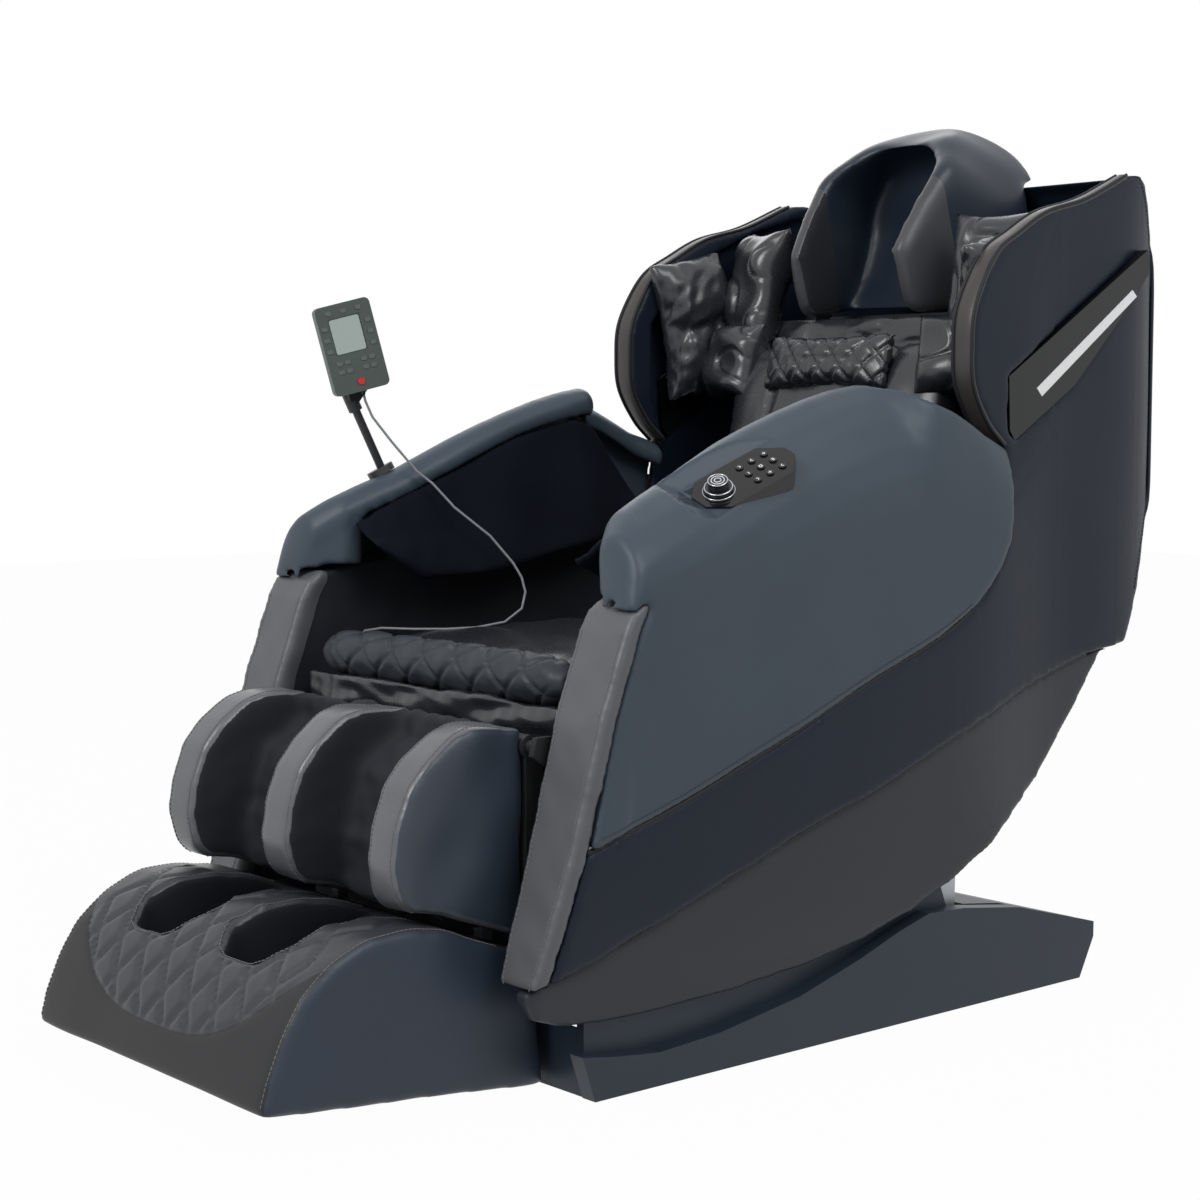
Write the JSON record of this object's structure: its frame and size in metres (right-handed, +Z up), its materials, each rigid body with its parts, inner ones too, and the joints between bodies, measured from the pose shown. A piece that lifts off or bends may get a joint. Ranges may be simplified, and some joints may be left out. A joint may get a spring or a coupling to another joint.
{
  "type": "massage chair",
  "caption": "Reclining massage chair: capsule on curved base rails, lifting calf rest, extending foot rest, back massage carriage, flip-back headrest hood, arm panel and remote.",
  "frame": {"origin": "centre of the footprint box on the floor", "axes": "+X to the sitter's left, -Y the way the sitter faces, +Z up"},
  "size_m": [0.782, 1.57, 1.262],
  "materials": {
    "frame_steel": "satin black powder coat",
    "rail_steel": "brushed",
    "base_plastic": "satin",
    "glide_rubber": "matt",
    "black_plastic": "satin",
    "nylon": "satin",
    "leather_slate": "soft sheen",
    "leather_navy": "soft sheen",
    "leather_grey": "soft sheen",
    "leather_dark": "soft sheen",
    "fabric_black": "woven",
    "gloss_black": "gloss",
    "light_bar": "satin white",
    "panel_gloss": "gloss",
    "knob_metal": "polished",
    "key_white": "satin",
    "remote_plastic": "satin",
    "key_red": "gloss",
    "cord_grey": "satin"
  },
  "bodies": {
    "base": {"base_frame": "frame_steel", "guide_rails": "rail_steel", "base_cover_left": "base_plastic", "base_cover_right": "base_plastic", "base_tail_cover": "base_plastic", "base_front_cover": "base_plastic", "floor_glides": "glide_rubber", "mains_inlet": "black_plastic"},
    "mains_switch": {"mains_switch": "key_red"},
    "capsule": {"seat_frame": "frame_steel", "guide_shoes": "nylon", "lower_shell_left": "leather_dark", "lower_shell_right": "leather_dark", "belly_panel": "black_plastic", "arm_panel_left": "leather_slate", "arm_panel_right": "leather_slate", "arm_box_left": "leather_grey", "arm_box_right": "leather_grey", "arm_leaf_left": "fabric_black", "arm_leaf_right": "fabric_black", "side_shell_left": "leather_navy", "side_shell_right": "leather_navy", "back_shell": "leather_navy", "back_cushion": "leather_grey", "seat_cushion": "fabric_black", "seat_roll": "leather_grey", "front_apron": "leather_dark", "neck_pad": "leather_grey", "shoulder_airbag_left": "leather_grey", "shoulder_airbag_right": "leather_grey", "wing_housing_left": "gloss_black", "wing_housing_right": "gloss_black", "light_bars": "light_bar", "massage_track": "rail_steel", "control_panel": "panel_gloss", "remote_holder": "frame_steel", "remote_cord": "cord_grey"},
    "massage_carriage": {"massage_carriage": "frame_steel"},
    "kneading_head_left": {"kneading_head_left": "nylon"},
    "kneading_head_right": {"kneading_head_right": "nylon"},
    "headrest": {"headrest_hood": "leather_dark"},
    "control_knob": {"control_knob": "knob_metal"},
    "remote": {"remote": "remote_plastic", "remote_cradle": "frame_steel"},
    "remote_power_key": {"remote_power_key": "key_red"},
    "calf_rest": {"calf_frame": "frame_steel", "calf_cushion": "leather_grey"},
    "foot_rest": {"foot_rest": "leather_dark", "foot_slide_bars": "rail_steel"},
    "panel_key_1": {"panel_key_1": "key_white"},
    "panel_key_2": {"panel_key_2": "key_white"},
    "panel_key_3": {"panel_key_3": "key_white"},
    "panel_key_4": {"panel_key_4": "key_white"},
    "panel_key_5": {"panel_key_5": "key_white"},
    "panel_key_6": {"panel_key_6": "key_white"},
    "panel_key_7": {"panel_key_7": "key_white"},
    "panel_key_8": {"panel_key_8": "key_white"},
    "panel_key_9": {"panel_key_9": "key_white"}
  },
  "joints": [
    {"name": "mains_switch_rock", "type": "hinge", "parent": "base", "child": "mains_switch", "pos_m": [0.222, 0.583, 0.045], "axis": [1, 0, 0], "range_deg": [-8, 8]},
    {"name": "recline", "type": "hinge", "parent": "base", "child": "capsule", "pos_m": [0, 0.028, 0.92], "axis": [-1, 0, 0], "range_deg": [0, 26]},
    {"name": "massage_lift", "type": "slide", "parent": "capsule", "child": "massage_carriage", "axis": [0, 0.2756, 0.9613], "range_m": [0, 0.27]},
    {"name": "kneading_left_rock", "type": "hinge", "parent": "massage_carriage", "child": "kneading_head_left", "pos_m": [0.08, 0.44944, 0.63372], "axis": [1, 0, 0], "range_deg": [-10, 10]},
    {"name": "kneading_right_rock", "type": "hinge", "parent": "massage_carriage", "child": "kneading_head_right", "pos_m": [-0.08, 0.44944, 0.63372], "axis": [1, 0, 0], "range_deg": [-10, 10]},
    {"name": "headrest_flip", "type": "hinge", "parent": "capsule", "child": "headrest", "pos_m": [0, 0.7, 1.176], "axis": [-1, 0, 0], "range_deg": [0, 95]},
    {"name": "knob_turn", "type": "hinge", "parent": "capsule", "child": "control_knob", "pos_m": [0.33629, -0.15569, 0.73255], "axis": [0.3481, -0.454, 0.8202], "range_deg": [0, 300]},
    {"name": "panel_key_1_press", "type": "slide", "parent": "capsule", "child": "panel_key_1", "axis": [-0.3481, 0.454, -0.8202], "range_m": [0, 0.001], "stiffness_N_per_m": 300, "springref_m": -0.0003},
    {"name": "panel_key_2_press", "type": "slide", "parent": "capsule", "child": "panel_key_2", "axis": [-0.3481, 0.454, -0.8202], "range_m": [0, 0.001], "stiffness_N_per_m": 300, "springref_m": -0.0003},
    {"name": "panel_key_3_press", "type": "slide", "parent": "capsule", "child": "panel_key_3", "axis": [-0.3481, 0.454, -0.8202], "range_m": [0, 0.001], "stiffness_N_per_m": 300, "springref_m": -0.0003},
    {"name": "panel_key_4_press", "type": "slide", "parent": "capsule", "child": "panel_key_4", "axis": [-0.3481, 0.454, -0.8202], "range_m": [0, 0.001], "stiffness_N_per_m": 300, "springref_m": -0.0003},
    {"name": "panel_key_5_press", "type": "slide", "parent": "capsule", "child": "panel_key_5", "axis": [-0.3481, 0.454, -0.8202], "range_m": [0, 0.001], "stiffness_N_per_m": 300, "springref_m": -0.0003},
    {"name": "panel_key_6_press", "type": "slide", "parent": "capsule", "child": "panel_key_6", "axis": [-0.3481, 0.454, -0.8202], "range_m": [0, 0.001], "stiffness_N_per_m": 300, "springref_m": -0.0003},
    {"name": "panel_key_7_press", "type": "slide", "parent": "capsule", "child": "panel_key_7", "axis": [-0.3481, 0.454, -0.8202], "range_m": [0, 0.001], "stiffness_N_per_m": 300, "springref_m": -0.0003},
    {"name": "panel_key_8_press", "type": "slide", "parent": "capsule", "child": "panel_key_8", "axis": [-0.3481, 0.454, -0.8202], "range_m": [0, 0.001], "stiffness_N_per_m": 300, "springref_m": -0.0003},
    {"name": "panel_key_9_press", "type": "slide", "parent": "capsule", "child": "panel_key_9", "axis": [-0.3481, 0.454, -0.8202], "range_m": [0, 0.001], "stiffness_N_per_m": 300, "springref_m": -0.0003},
    {"name": "remote_swivel", "type": "hinge", "parent": "capsule", "child": "remote", "pos_m": [-0.312, -0.257, 0.842], "axis": [0, -0.4647, 0.8855], "range_deg": [-40, 40]},
    {"name": "remote_power_press", "type": "slide", "parent": "remote", "child": "remote_power_key", "axis": [-0.9272, 0.3746, 0], "range_m": [0, 0.0008], "stiffness_N_per_m": 300, "springref_m": -0.0003},
    {"name": "calf_lift", "type": "hinge", "parent": "capsule", "child": "calf_rest", "pos_m": [0, -0.395, 0.425], "axis": [-1, 0, 0], "range_deg": [0, 80]},
    {"name": "foot_extend", "type": "slide", "parent": "calf_rest", "child": "foot_rest", "axis": [0, 0, -1], "range_m": [0, 0.15]}
  ]
}
